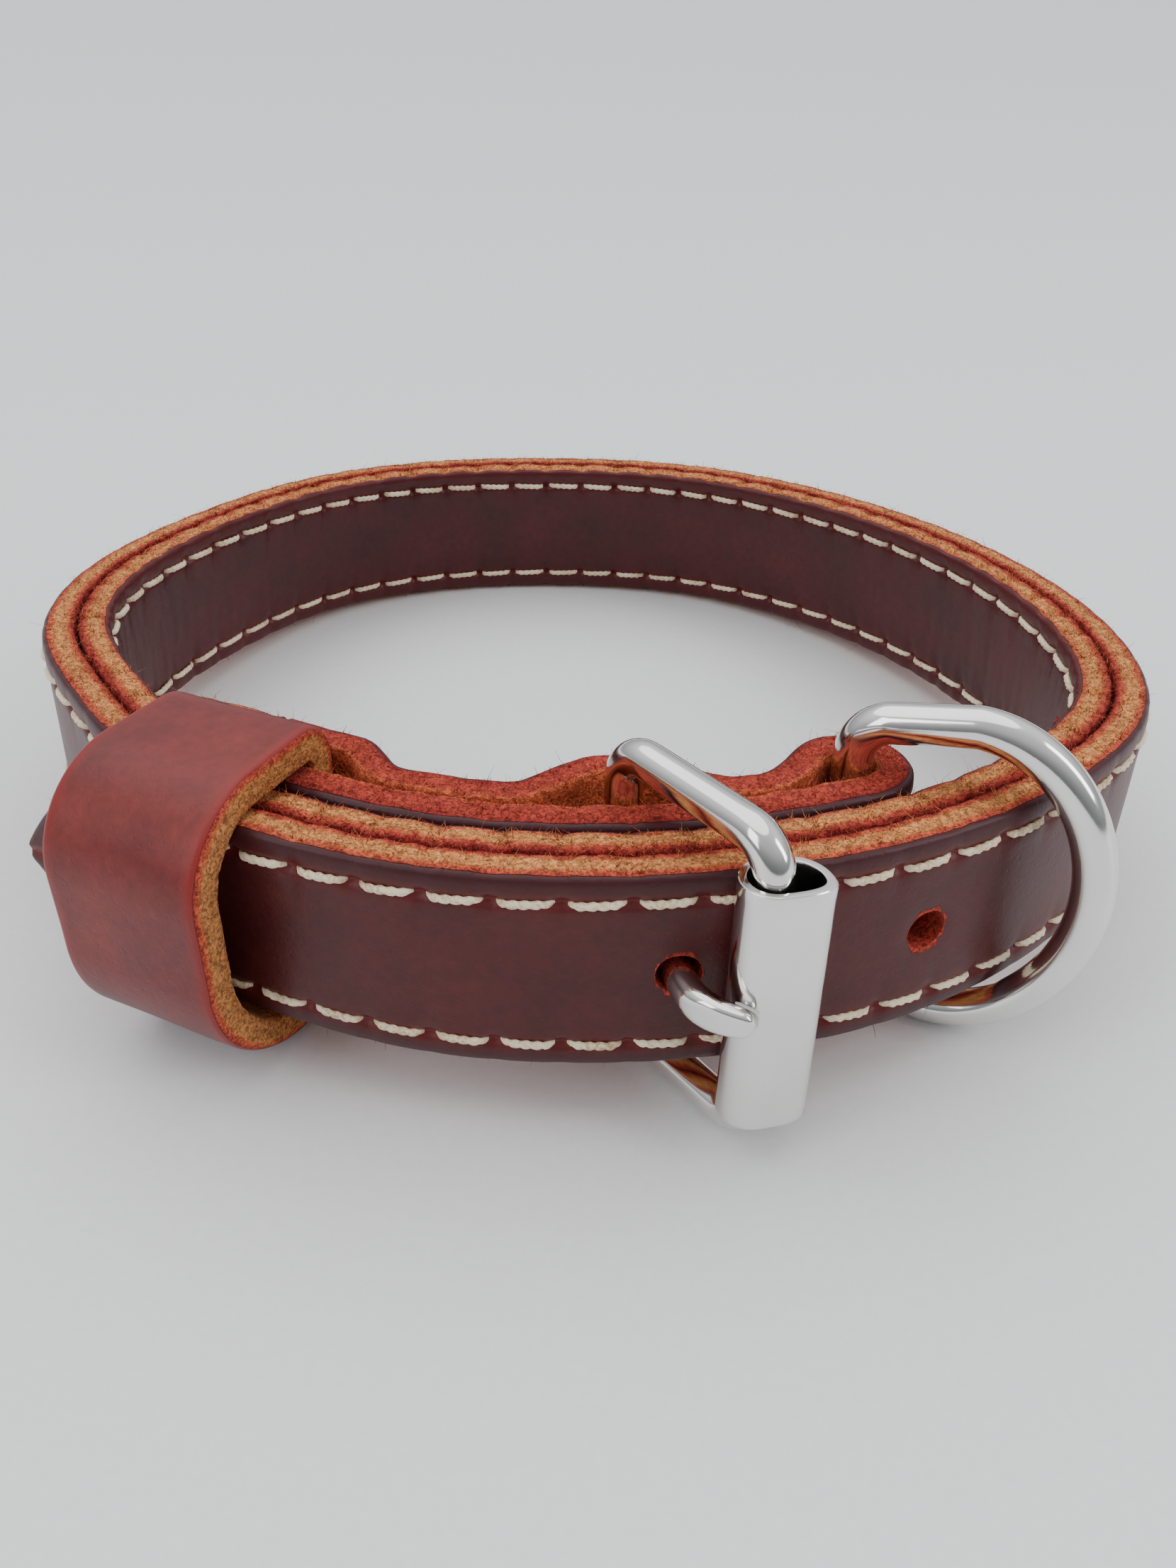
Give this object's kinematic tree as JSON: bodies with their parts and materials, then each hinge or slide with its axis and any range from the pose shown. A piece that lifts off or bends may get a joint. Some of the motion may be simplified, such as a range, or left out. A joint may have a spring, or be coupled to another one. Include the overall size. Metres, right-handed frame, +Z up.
{
  "type": "dog_collar",
  "caption": "Two-ply leather dog collar, buckled into a ring, with a roller buckle, a leather keeper and a D-ring for a lead",
  "frame": {"origin": "centre of the box's lower face, on the floor that the collar stands on", "axes": "+X to the right along the front, from the free end's tip towards the buckle; +Y from the front to the back; +Z up, along the strap's width"},
  "size_m": [0.1362, 0.1312, 0.0383],
  "materials": {
    "strap_leather": "satin burgundy grain, raw red and tan edges",
    "lining_leather": "satin burgundy grain towards the neck, raw tan edges",
    "keeper_leather": "mottled red grain, raw tan edges",
    "steel": "polished"
  },
  "bodies": {
    "collar": {"strap_outer": "strap_leather", "strap_lining": "lining_leather", "keeper": "keeper_leather", "buckle_frame": "steel", "buckle_roller": "steel", "buckle_tongue": "steel"},
    "d_ring": {"d_ring": "steel"}
  },
  "joints": [
    {"name": "d_ring_swing", "type": "hinge", "parent": "collar", "child": "d_ring", "pos_m": [0.02842, -0.03839, 0.01886], "axis": [0, 0.0672, 0.9977], "range_deg": [-70, 0]}
  ]
}
